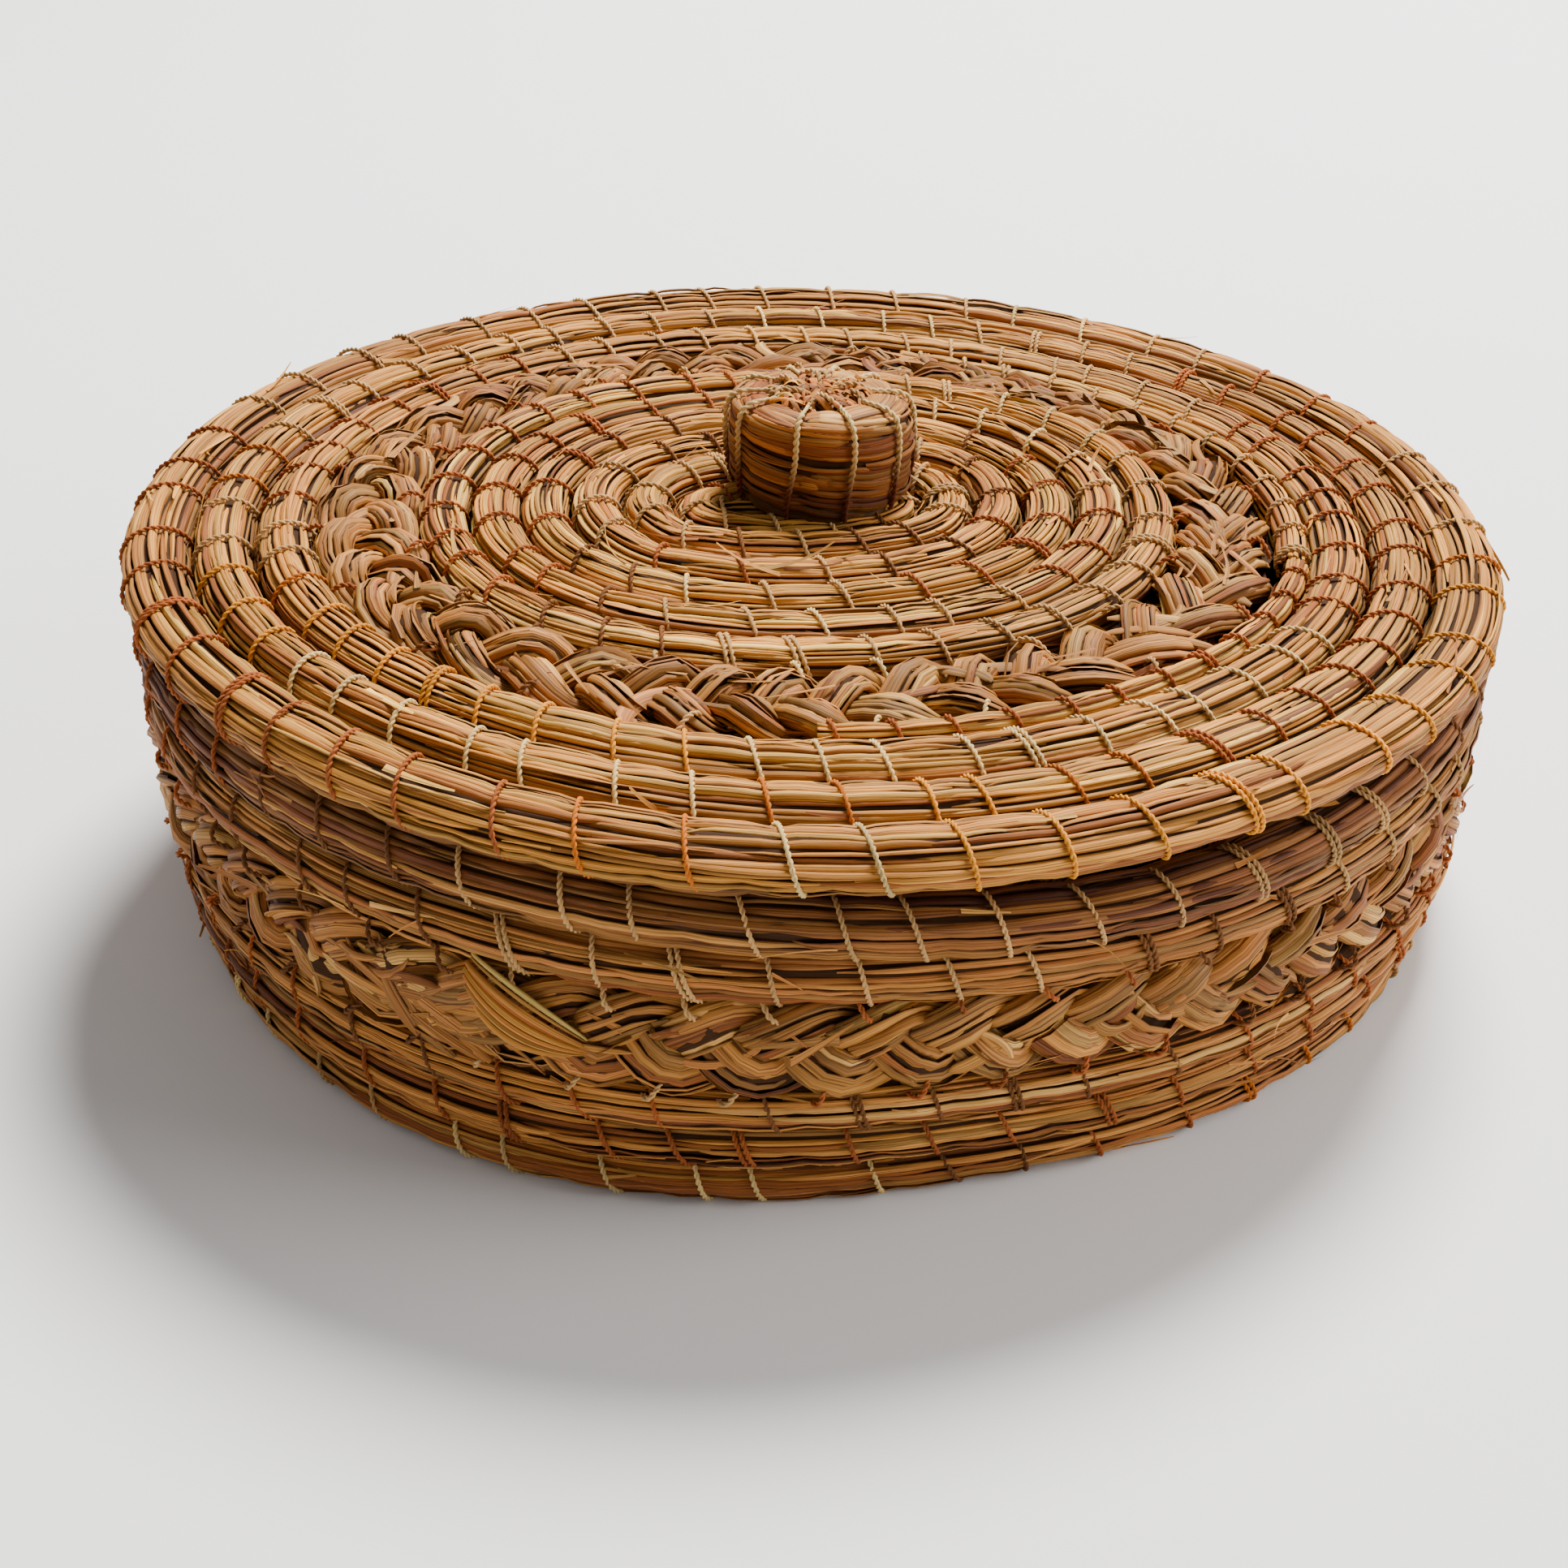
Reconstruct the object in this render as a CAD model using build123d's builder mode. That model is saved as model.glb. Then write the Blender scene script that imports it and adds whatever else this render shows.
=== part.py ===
from build123d import *
import os
from math import atan2, degrees, hypot

# Oval coiled-grass basket with a lift-off lid, in millimetres.
# Origin: on the floor under the middle of the basket; +X along the long axis, +Z up.
# Every turn of coil is a ring of its own, laid along an oval of four tangent arcs.

LENGTH = 300.0           # over the lid rim
GAP = 0.2                # between neighbouring turns
SEAT_CLEARANCE = 0.4     # between the resting lid and the body

# Oval families: end arcs are centred at (+-end_x, 0), side arcs at (0, -+side_y),
# so all ovals of one family run parallel to each other.
OUTER = {"end_x": 30.0, "side_y": 28.1, "centre": (0.0, 0.0), "turn": 0.0}
INNER = {"end_x": 16.0, "side_y": 41.2, "centre": (-2.8, 6.0), "turn": 6.0}

# Body wall, from the floor up: top of each row, its outer half-length and width.
FOOT_TOP = 10.2
BOTTOM_TOP = 20.4
LOWER_TOP = 30.7
BRAID_TOP = 52.4
SECOND_TOP = 64.2
BODY_TOP = 76.2
FOOT_REACH, FOOT_WIDTH = 144.8, 12.5
BOTTOM_REACH, BOTTOM_WIDTH = 146.8, 11.5
LOWER_REACH, LOWER_WIDTH = 148.2, 11.5
BRAID_REACH, BRAID_WIDTH = 149.3, 9.5
SECOND_REACH, SECOND_WIDTH = 149.2, 12.0
RIM_REACH, RIM_WIDTH = 149.2, 13.0

# Flat base inside the foot row.
BASE_THICKNESS = 10.0
BASE_ROW = 13.0
BASE_ROWS = 7

# Lid: outer rows, plait, inner rows and the knob.
LID_BOTTOM = BODY_TOP + SEAT_CLEARANCE
LID_TOP = 88.0
LID_ROWS = {"lid_rim_coil": 14.9, "lid_second_row": 13.0, "lid_third_row": 13.4}
LID_BRAID_THICKNESS = 10.6
INNER_REACH = 84.5
INNER_ROW = 11.3
INNER_ROWS = 5
INNER_LIFT = 0.6
ROW_START_WIDTH = 7.0
ROW_START_HEIGHT = 9.0
ROW_START_FROM, ROW_START_TO = -14.0, 43.0
SEAT_REACH, SEAT_WIDTH, SEAT_HEIGHT = 133.0, 10.0, 9.0

KNOB_CENTRE = (2.3, 14.0)
KNOB_RADIUS = 21.4
KNOB_BASE_RADIUS = 18.6
KNOB_SHOULDER = 17.0
KNOB_HEIGHT = 22.0
CROWN_RADIUS = 10.5
CROWN_HEIGHT = 2.4


def oval(reach, family, z):
    """Closed wire of four tangent arcs, starting on the +X side."""
    end_x, side_y = family["end_x"], family["side_y"]
    split = degrees(atan2(side_y, end_x))
    end_radius = reach - end_x
    side_radius = end_radius + hypot(end_x, side_y)
    plane = Plane((*family["centre"], z)).rotated((0, 0, family["turn"]))
    with BuildLine(plane) as path:
        CenterArc((end_x, 0), end_radius, 0, split)
        CenterArc((0, -side_y), side_radius, split, 180 - 2 * split)
        CenterArc((-end_x, 0), end_radius, 180 - split, 2 * split)
        CenterArc((0, side_y), side_radius, 180 + split, 180 - 2 * split)
        CenterArc((end_x, 0), end_radius, -split, split)
    return path.wire()


def section_plane(reach, family, z):
    """Upright plane across the +X side of an oval: x outwards, y up."""
    base = Plane((*family["centre"], z)).rotated((0, 0, family["turn"]))
    return Plane(base.from_local_coords((reach, 0, 0)), x_dir=base.x_dir, z_dir=-base.y_dir)


def coil(name, reach, width, low, high, family=OUTER, flat=False):
    """One turn of coil: reach is its outer half-length, low and high its heights."""
    middle = reach - width / 2
    level = (low + high) / 2
    path = oval(middle, family, level)
    thick = high - low
    with BuildPart() as turn:
        with BuildSketch(section_plane(middle, family, level)):
            if flat:
                RectangleRounded(width, thick, 0.32 * min(width, thick))
            else:
                Ellipse(width / 2, thick / 2)
        sweep(path=path)
    save(name, turn.part)


def save(name, piece):
    piece.label = name
    export_step(piece, f"parts/{name}.step")


def make_body():
    """Wall rows, stacked on the foot row."""
    coil("foot_row", FOOT_REACH, FOOT_WIDTH, 0, FOOT_TOP, flat=True)
    coil("bottom_row", BOTTOM_REACH, BOTTOM_WIDTH, FOOT_TOP + GAP, BOTTOM_TOP)
    coil("lower_row", LOWER_REACH, LOWER_WIDTH, BOTTOM_TOP + GAP, LOWER_TOP)
    coil("body_braid", BRAID_REACH, BRAID_WIDTH, LOWER_TOP + GAP, BRAID_TOP, flat=True)
    coil("second_row", SECOND_REACH, SECOND_WIDTH, BRAID_TOP + GAP, SECOND_TOP)
    coil("body_rim_coil", RIM_REACH, RIM_WIDTH, SECOND_TOP + GAP, BODY_TOP)


def make_base():
    """Flat spiral base, one turn per ring, and the small start in the middle."""
    reach = FOOT_REACH - FOOT_WIDTH - GAP
    for row in range(1, BASE_ROWS + 1):
        coil(f"base_row_{row}", reach, BASE_ROW, 0, BASE_THICKNESS, flat=True)
        reach -= BASE_ROW + GAP
    with BuildPart() as start:
        with BuildSketch():
            make_face(oval(reach, OUTER, 0).edges())
        extrude(amount=BASE_THICKNESS)
        fillet(start.edges().filter_by(GeomType.CIRCLE), 2.0)
    save("base_start", start.part)


def make_lid_rows():
    """Three outer turns and the five turns inside the plait."""
    reach = LENGTH / 2
    for name, width in LID_ROWS.items():
        coil(name, reach, width - GAP, LID_BOTTOM, LID_TOP)
        reach -= width
    bottom = LID_BOTTOM + INNER_LIFT
    for row in range(INNER_ROWS):
        outer = INNER_REACH - row * INNER_ROW
        coil(f"lid_inner_row_{row + 1}", outer, INNER_ROW - GAP, bottom, LID_TOP, INNER)
    centre = INNER_REACH - INNER_ROWS * INNER_ROW
    with BuildPart() as start:
        with BuildSketch(Plane.XY.offset(bottom)):
            make_face(oval(centre, INNER, bottom).edges())
        extrude(amount=LID_TOP - 1.5 - bottom)
        fillet(start.edges().filter_by(GeomType.CIRCLE), 3.0)
    save("lid_centre", start.part)


def row_start_band(extra):
    """Sketch of the short thin turn that starts the outer spiral, grown by extra."""
    middle = LENGTH / 2 - sum(LID_ROWS.values()) - ROW_START_WIDTH / 2 - OUTER["end_x"]
    start, stop = ROW_START_FROM - extra, ROW_START_TO + extra
    inside = middle - ROW_START_WIDTH / 2 - extra
    outside = middle + ROW_START_WIDTH / 2 + 3 * extra
    with BuildLine() as edge:
        low = CenterArc((OUTER["end_x"], 0), inside, start, stop - start)
        high = CenterArc((OUTER["end_x"], 0), outside, start, stop - start)
        Line(low @ 0, high @ 0)
        Line(low @ 1, high @ 1)
    return edge.edges()


def make_lid_braid():
    """Flat three-strand plait filling the uneven ring between the rows."""
    outer = LENGTH / 2 - sum(LID_ROWS.values()) - GAP
    bottom = LID_TOP - LID_BRAID_THICKNESS
    with BuildPart() as braid:
        with BuildSketch(Plane.XY.offset(bottom)):
            make_face(oval(outer, OUTER, bottom).edges())
            make_face(oval(INNER_REACH + GAP, INNER, bottom).edges(), mode=Mode.SUBTRACT)
            make_face(row_start_band(0.6), mode=Mode.SUBTRACT)
        extrude(amount=LID_BRAID_THICKNESS)
    save("lid_braid", braid.part)


def make_row_start():
    """The thin tapered first piece of the outer spiral."""
    bottom = LID_TOP - ROW_START_HEIGHT - 1
    with BuildPart() as start:
        with BuildSketch(Plane.XY.offset(bottom)):
            make_face(row_start_band(0))
        extrude(amount=ROW_START_HEIGHT)
        fillet(start.edges().group_by(Axis.Z)[-1].filter_by(GeomType.CIRCLE), 2.4)
    save("lid_row_start", start.part)


def make_seat():
    """Coil sewn under the lid's second row, which keeps the lid in place."""
    top = LID_BOTTOM - GAP
    coil("lid_seat_coil", SEAT_REACH, SEAT_WIDTH, top - SEAT_HEIGHT, top)


def make_knob():
    """Barrel-shaped knob of wound coil, and its rough sewn crown."""
    base = LID_TOP + GAP
    axis = Plane((*KNOB_CENTRE, base), x_dir=(1, 0, 0), z_dir=(0, -1, 0))
    with BuildPart() as knob:
        with BuildSketch(axis):
            with BuildLine():
                Line((0, 0), (KNOB_BASE_RADIUS, 0))
                Spline(
                    (KNOB_BASE_RADIUS, 0),
                    (KNOB_RADIUS, 0.42 * KNOB_HEIGHT),
                    (KNOB_SHOULDER, 0.88 * KNOB_HEIGHT),
                    (CROWN_RADIUS, KNOB_HEIGHT),
                )
                Line((CROWN_RADIUS, KNOB_HEIGHT), (0, KNOB_HEIGHT))
                Line((0, KNOB_HEIGHT), (0, 0))
            make_face()
        revolve(axis=Axis((*KNOB_CENTRE, base), (0, 0, 1)))
    save("knob", knob.part)
    with BuildPart() as crown:
        with BuildSketch(Plane((*KNOB_CENTRE, base + KNOB_HEIGHT))):
            Circle(CROWN_RADIUS - 0.5)
        extrude(amount=CROWN_HEIGHT)
        fillet(crown.edges().group_by(Axis.Z)[-1], 1.8)
    save("knob_crown", crown.part)


os.makedirs("parts", exist_ok=True)
make_body()
make_base()
make_lid_rows()
make_lid_braid()
make_row_start()
make_seat()
make_knob()
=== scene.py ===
"""Looks of the coiled-grass basket: every row is rebuilt as a bundle of flat blades with its own stitches."""

import math

import bpy
import numpy as np
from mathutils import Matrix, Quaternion, Vector


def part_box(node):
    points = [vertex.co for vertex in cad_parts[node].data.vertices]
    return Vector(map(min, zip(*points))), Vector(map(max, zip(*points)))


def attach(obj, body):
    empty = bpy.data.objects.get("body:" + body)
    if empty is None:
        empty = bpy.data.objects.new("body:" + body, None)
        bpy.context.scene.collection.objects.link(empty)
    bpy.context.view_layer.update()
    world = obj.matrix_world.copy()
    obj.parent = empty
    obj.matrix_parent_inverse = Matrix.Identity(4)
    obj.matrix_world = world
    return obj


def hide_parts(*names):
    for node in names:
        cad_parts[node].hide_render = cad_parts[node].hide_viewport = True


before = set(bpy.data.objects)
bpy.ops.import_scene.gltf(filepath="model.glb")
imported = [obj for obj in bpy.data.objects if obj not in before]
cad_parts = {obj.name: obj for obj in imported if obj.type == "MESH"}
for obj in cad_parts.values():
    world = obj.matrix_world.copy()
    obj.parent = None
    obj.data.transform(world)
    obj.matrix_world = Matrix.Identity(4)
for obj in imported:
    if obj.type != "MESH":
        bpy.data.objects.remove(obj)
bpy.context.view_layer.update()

MM = 1000.0                      # lengths below are in millimetres
TAU = 2 * math.pi
UP = np.array([0.0, 0.0, 1.0])
GRASS, THREAD, CORE = range(3)   # material slots of every woven piece

# The two families of ovals: end arcs are centred at (+-end_x, 0), side arcs at (0, -+side_y).
OUTER = {"end_x": 30.0, "side_y": 28.1, "turn": 0.0}
INNER = {"end_x": 16.0, "side_y": 41.2, "turn": 6.0}


def node_box(name):
    """Lowest and highest corner of a CAD node, in millimetres."""
    return [np.array(corner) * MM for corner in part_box(name)]


# ---------------------------------------------------------------- colours


def linear(r, g, b):
    """sRGB, 0 to 255, to the linear values that sockets take."""
    c = np.array([r, g, b]) / 255.0
    return np.where(c <= 0.04045, c / 12.92, ((c + 0.055) / 1.055) ** 2.4)


# Colours of the blades, each with its share of them; the shares of the last two can be raised.
STRAW = [
    (linear(212, 168, 108), 0.26),   # golden straw
    (linear(198, 152, 96), 0.30),    # tan
    (linear(206, 156, 108), 0.07),   # pinkish tan
    (linear(182, 150, 100), 0.16),   # olive grey
    (linear(238, 208, 154), 0.08),   # pale
    (linear(166, 112, 64), 0.11),    # brown
    (linear(132, 84, 46), 0.02),     # dark
]
BROWN_FROM = 5                       # the first of the brown and dark colours above
THREADS = {
    "c": linear(224, 192, 126),      # cream
    "t": linear(196, 154, 98),       # tan
    "g": linear(226, 150, 44),       # golden
    "o": linear(190, 104, 26),       # orange
    "r": linear(160, 86, 40),        # rust
    "b": linear(118, 74, 38),        # brown
}
# Painted shade: the dark of a bundle's inside and of the sheet under a plait.
CORE_TINT = linear(70, 40, 22)


def pick_tints(rng, count, tone=(1, 1, 1), dark=0.0):
    """A colour for each blade, varied in lightness and a little in hue."""
    colours, share = (np.array(column) for column in zip(*STRAW))
    share[BROWN_FROM:] += dark
    tint = colours[rng.choice(len(STRAW), count, p=share / share.sum())]
    tint = tint * rng.lognormal(0, 0.14, (count, 1)) * rng.normal(1, 0.022, (count, 3))
    return np.clip(tint * np.array(tone), 0.01, 0.95)


# ---------------------------------------------------------------- tracks


class Track:
    """A path with two section axes at each point: e1 across or outwards, e2 up or out of the surface."""

    def __init__(self, points, e1, e2, closed=True):
        e2 = np.broadcast_to(e2, points.shape)
        self.closed = closed
        if closed:
            points, e1, e2 = (np.vstack([a, a[:1]]) for a in (points, e1, e2))
        steps = np.linalg.norm(np.diff(points, axis=0), axis=1)
        self.s = np.concatenate([[0], np.cumsum(steps)])
        self.length = self.s[-1]
        self.points, self.e1, self.e2 = points, e1, e2

    def at(self, s):
        """Point and section axes at each distance along the path."""
        s = np.mod(s, self.length) if self.closed else np.clip(s, 0, self.length)
        out = []
        for a in (self.points, self.e1, self.e2):
            out.append(np.stack([np.interp(s, self.s, a[:, i]) for i in range(3)], -1))
        return out


def degrees_round(vectors):
    """How far round from +X each vector points, in degrees."""
    return np.degrees(np.arctan2(vectors[:, 1], vectors[:, 0]))


def oval_arcs(reach, family):
    """Normal angle where the end and side arcs of an oval meet, and the radius of each."""
    split = math.atan2(family["side_y"], family["end_x"])
    end_radius = reach - family["end_x"]
    return split, end_radius, end_radius + math.hypot(family["end_x"], family["side_y"])


def oval_angles(reach, family, count):
    """Normal angles spread evenly by length along a four-arc oval."""
    split, end_radius, side_radius = oval_arcs(reach, family)
    fine = np.linspace(0, TAU, 7201)
    radius = np.where(np.abs(np.cos(fine)) > math.cos(split), end_radius, side_radius)
    length = np.concatenate([[0], np.cumsum((radius[1:] + radius[:-1]) / 2)])
    return np.interp(np.linspace(0, length[-1], count, endpoint=False), length, fine)


def oval_points(angle, reach, family):
    """Points of a four-arc oval where its normal has each angle."""
    split, end_radius, side_radius = oval_arcs(reach, family)
    c, s = np.cos(angle), np.sin(angle)
    on_end = np.abs(c) > math.cos(split)
    x = np.where(on_end, np.sign(c) * family["end_x"] + end_radius * c, side_radius * c)
    y = np.where(on_end, end_radius * s, side_radius * s - np.sign(s) * family["side_y"])
    turn = math.radians(family["turn"])
    return np.stack([x * math.cos(turn) - y * math.sin(turn), x * math.sin(turn) + y * math.cos(turn)], -1)


def outwards(angle):
    """Level unit vectors at each angle."""
    return np.stack([np.cos(angle), np.sin(angle), 0 * angle], -1)


def oval_line(reach, family, centre, count):
    """Normal angles, points and normals of an oval round a centre."""
    angle = oval_angles(reach, family, count)
    flat = oval_points(angle, reach, family) + centre[:2]
    points = np.column_stack([flat, np.full(count, centre[2])])
    return angle, points, outwards(angle + math.radians(family["turn"]))


def waves(rng, angle, size, lowest=2, highest=7):
    """Smooth unevenness that closes on itself."""
    out = np.zeros_like(angle)
    for k in range(lowest, highest + 1):
        out += rng.normal(0, 1) / k * np.cos(k * angle + rng.uniform(0, TAU))
    return out * size


def oval_track(name, family, rng, width, wobble=0.35):
    """Track of a row's centre line, from its CAD node's box."""
    low, high = node_box(name)
    reach = (high[0] - low[0]) / 2 - width / 2
    angle, points, normal = oval_line(reach, family, (low + high) / 2, 720)
    points += normal * waves(rng, angle, wobble)[:, None]
    points[:, 2] += waves(rng, angle, wobble * 0.7)
    return Track(points, normal, UP)


# ---------------------------------------------------------------- mesh building

LEAN = 0.0360                    # the body is sewn a little lower on its right side
LEAN_HEIGHT = node_box("lid_rim_coil")[1][2]
FLOOR = node_box("foot_row")[0][2]
FLOOR_GAP = 0.05

# Places where the outline swells or draws in: degrees round, width in degrees, share of the radius,
# and whether only the foot of the wall does it.
SWELLS = [(24, 26, 0.018, False), (-122, 24, 0.032, True), (-76, 15, -0.020, True)]


def settle(points):
    """Hand-made unevenness: the work sinks towards +X, its oval isn't true, and the floor stops it."""
    out = points.copy()
    turn = degrees_round(points)
    depth = np.clip(1 - points[:, 2] / LEAN_HEIGHT, 0, 1)
    for middle, width, share, foot_only in SWELLS:
        bump = share * np.exp(-(((turn - middle) / width) ** 2)) * (depth if foot_only else 1)
        out[:, :2] += points[:, :2] * bump[:, None]
    out[:, 2] -= LEAN * points[:, 0] * points[:, 2] / LEAN_HEIGHT
    out[:, 2] = np.maximum(out[:, 2], FLOOR + FLOOR_GAP)
    return out


class Soup:
    """Collects quads with their colour, grain and material, and makes one mesh object of them."""

    def __init__(self):
        self.verts, self.quads, self.tints, self.grains, self.slots = [], [], [], [], []
        self.count = 0

    def add(self, points, tint, grain, slot, wrap=False):
        """Adds grids of points, whose last axes are rows, columns and xyz, and joins them with quads.

        The tint and the grain, which is (along, across, seed), are spread over the points.
        """
        rows, columns = points.shape[-3:-1]
        quads = grid_quads(points.size // (3 * rows * columns), rows, columns, wrap)
        self.verts.append(points.reshape(-1, 3))
        self.quads.append(quads + self.count)
        self.tints.append(np.broadcast_to(tint, points.shape).reshape(-1, 3))
        self.grains.append(np.stack([np.broadcast_to(g, points.shape[:-1]).ravel() for g in grain], -1))
        self.slots.append(np.full(len(quads), slot))
        self.count += len(self.verts[-1])

    def build(self, name, materials):
        verts = settle(np.concatenate(self.verts)) / MM
        quads = np.concatenate(self.quads)
        mesh = bpy.data.meshes.new(name)
        mesh.vertices.add(len(verts))
        mesh.vertices.foreach_set("co", verts.astype(np.float32).ravel())
        mesh.loops.add(len(quads) * 4)
        mesh.loops.foreach_set("vertex_index", quads.astype(np.int32).ravel())
        mesh.polygons.add(len(quads))
        mesh.polygons.foreach_set("loop_start", np.arange(0, len(quads) * 4, 4, dtype=np.int32))
        mesh.polygons.foreach_set("material_index", np.concatenate(self.slots).astype(np.int32))
        mesh.polygons.foreach_set("use_smooth", np.ones(len(quads), bool))
        mesh.update(calc_edges=True)
        tint = np.column_stack([np.concatenate(self.tints), np.ones(len(verts))]).astype(np.float32)
        mesh.attributes.new("tint", "FLOAT_COLOR", "POINT").data.foreach_set("color", tint.ravel())
        grain = np.concatenate(self.grains).astype(np.float32)
        mesh.attributes.new("grain", "FLOAT_VECTOR", "POINT").data.foreach_set("vector", grain.ravel())
        for material in materials:
            mesh.materials.append(material)
        obj = bpy.data.objects.new(name, mesh)
        bpy.context.scene.collection.objects.link(obj)
        return obj


def grid_quads(count, rows, columns, wrap=False):
    """Quads of `count` grids of rows x columns points; wrap joins the last column to the first."""
    r = np.arange(rows - 1)[:, None]
    c = np.arange(columns if wrap else columns - 1)[None, :]
    d = (c + 1) % columns
    one = np.stack([r * columns + c, r * columns + d, (r + 1) * columns + d, (r + 1) * columns + c], -1)
    return (one.reshape(1, -1, 4) + (np.arange(count) * rows * columns)[:, None, None]).reshape(-1, 4)


def smooth(x):
    x = np.clip(x, 0, 1)
    return x * x * (3 - 2 * x)


def both_ends(t, steepness):
    """1 along a blade, falling smoothly to 0 at t = 0 and at t = 1."""
    return smooth(t * steepness) * smooth((1 - t) * steepness)


def on_plait(track, s, across, over):
    """Points beside a track's line: across it along e1, and over it along e2."""
    p, e1, e2 = track.at(s)
    return p + e1 * across[..., None] + e2 * over[..., None]


def on_section(track, s, phi, half_w, half_h, lift):
    """Points on a row's section, lifted off its surface by `lift`."""
    p, e1, e2 = track.at(s)
    c, n = np.cos(phi), np.sin(phi)
    n1, n2 = c / half_w, n / half_h
    size = np.hypot(n1, n2)
    a = half_w * c + lift * n1 / size
    b = half_h * n + lift * n2 / size
    return p + e1 * a[..., None] + e2 * b[..., None]


# ---------------------------------------------------------------- blades and core

COLUMNS = np.array([-1.0, -0.62, 0.0, 0.62, 1.0])      # points across a blade, in half widths
CROWN = np.array([-0.42, -0.02, 0.06, -0.02, -0.42])   # and their height: its edges curl down
TUCK = 7.0                       # length over which a blade's end dives into the bundle
TAPER = 16.0                     # length over which it narrows
SQUEEZE = 0.55                   # how far a stitch pulls the blades in
STITCH_GRIP = 2.3                # and how far along the row it does so
GROOVE_SHADE, GROOVE_WIDTH = 0.62, 0.5                 # painted shade round chosen angles of a row's section, mostly where two rows meet, and its width in radians
CORE_DEPTH = 0.9                 # the core lies this far under the blades
CORE_SIDES = 12


def seeds(rng, count):
    """A number for each blade, so that no two show the same pattern."""
    return rng.uniform(0, 100, (count, 1, 1))


def squeeze_at(s, phi, stitches, slant, length):
    """1 under a stitch, falling to 0 between stitches."""
    if stitches is None:
        return np.zeros_like(s)
    where = np.mod(s - slant * (0.5 - phi / math.pi), length)
    ends = np.sort(np.concatenate([stitches - length, stitches, stitches + length]))
    i = np.searchsorted(ends, where)
    d = np.minimum(np.abs(where - ends[i - 1]), np.abs(ends[np.minimum(i, len(ends) - 1)] - where))
    return np.exp(-((d / STITCH_GRIP) ** 2))


def coil_blades(soup, track, half_w, half_h, rng, tone=(1, 1, 1), around=20, length=(55, 130), segments=26,
                stitches=None, slant=0.0, dark=0.0, loose=0.32, layered=0.24, grooves=(), cover=1.0):
    """Lanes of overlapping flat blades laid along a row, all round its section, and a looser top layer."""
    blades = []
    for angle in np.linspace(0, TAU, around, endpoint=False) + rng.uniform(0, 1):
        at = rng.uniform(0, length[1]) if track.closed else -rng.uniform(0, length[0] / 2)
        stop = at + track.length if track.closed else track.length
        while at < stop:
            size = rng.uniform(*length)
            blades.append((at, size + rng.uniform(4, 12), angle, 0))
            at += size
    for _ in range(int(len(blades) * loose)):
        blades.append((rng.uniform(0, track.length), rng.uniform(*length) * 0.8, rng.uniform(0, TAU), 1))
    count = len(blades)
    start, size, angle, top = np.array(blades).T[..., None]
    t = np.linspace(0, 1, segments + 1)
    s = start + t * size
    perimeter = math.pi * (3 * (half_w + half_h) - math.sqrt((3 * half_w + half_h) * (half_w + 3 * half_h)))
    width = perimeter / around * cover * rng.uniform(0.70, 1.34, (count, 1)) * np.where(top > 0, 0.75, 1.0)
    drift = rng.normal(0, 0.10, (count, 1)) * (t - 0.5) + rng.normal(0, 0.05, (count, 1))
    drift += rng.normal(0, 0.025, (count, 1)) * np.sin(t * 9 + rng.uniform(0, TAU, (count, 1)))
    phi = angle + drift
    near = squeeze_at(s, phi, stitches, slant, track.length)
    tuck = both_ends(t, size / TUCK)
    lift = rng.normal(0, 0.27, (count, 1)) + top * 0.25 - 0.9 * (1 - tuck) - SQUEEZE * near
    lift += 0.18 * np.sin(s / 11 + angle * 5)
    taper = 0.45 + 0.55 * both_ends(t, size / TAPER)
    metric = np.hypot(half_w * np.sin(phi), half_h * np.cos(phi))
    across = COLUMNS * (width * taper / 2)[..., None]
    tilt = rng.normal(0, layered, (count, 1, 1)) * COLUMNS
    phi = phi[..., None] + across / metric[..., None]
    s = np.broadcast_to(s[..., None], phi.shape)
    points = on_section(track, s, phi, half_w, half_h, lift[..., None] + CROWN * taper[..., None] + tilt)
    tint = pick_tints(rng, count, tone, dark)
    # Painted shade: blade ends darken where they dive into the bundle, blades darken under the stitches, and
    # round each angle in grooves.
    shade = 1 - 0.25 * (1 - tuck) - 0.10 * near
    for groove in grooves:
        off = np.abs(np.mod(angle + drift - groove + math.pi, TAU) - math.pi)
        shade = shade * (1 - GROOVE_SHADE * np.exp(-((off / GROOVE_WIDTH) ** 2)))
    tint = tint[:, None, None, :] * shade[..., None, None]
    soup.add(points, tint, (s, COLUMNS, seeds(rng, count)), GRASS)


def core_tube(soup, track, half_w, half_h, steps=None):
    """Inside of a bundle, seen between its blades, dark with painted shade."""
    steps = steps or int(track.length / 5)
    s, phi = np.meshgrid(np.linspace(0, track.length, steps + 1),
                         np.linspace(0, TAU, CORE_SIDES, endpoint=False), indexing="ij")
    just_short = 0.99999 if track.closed else 1        # the last ring stops beside the first
    points = on_section(track, s * just_short, phi, half_w - CORE_DEPTH, half_h - CORE_DEPTH, 0 * s)
    soup.add(points, CORE_TINT, (s, phi, 0.0), CORE, wrap=True)


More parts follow.
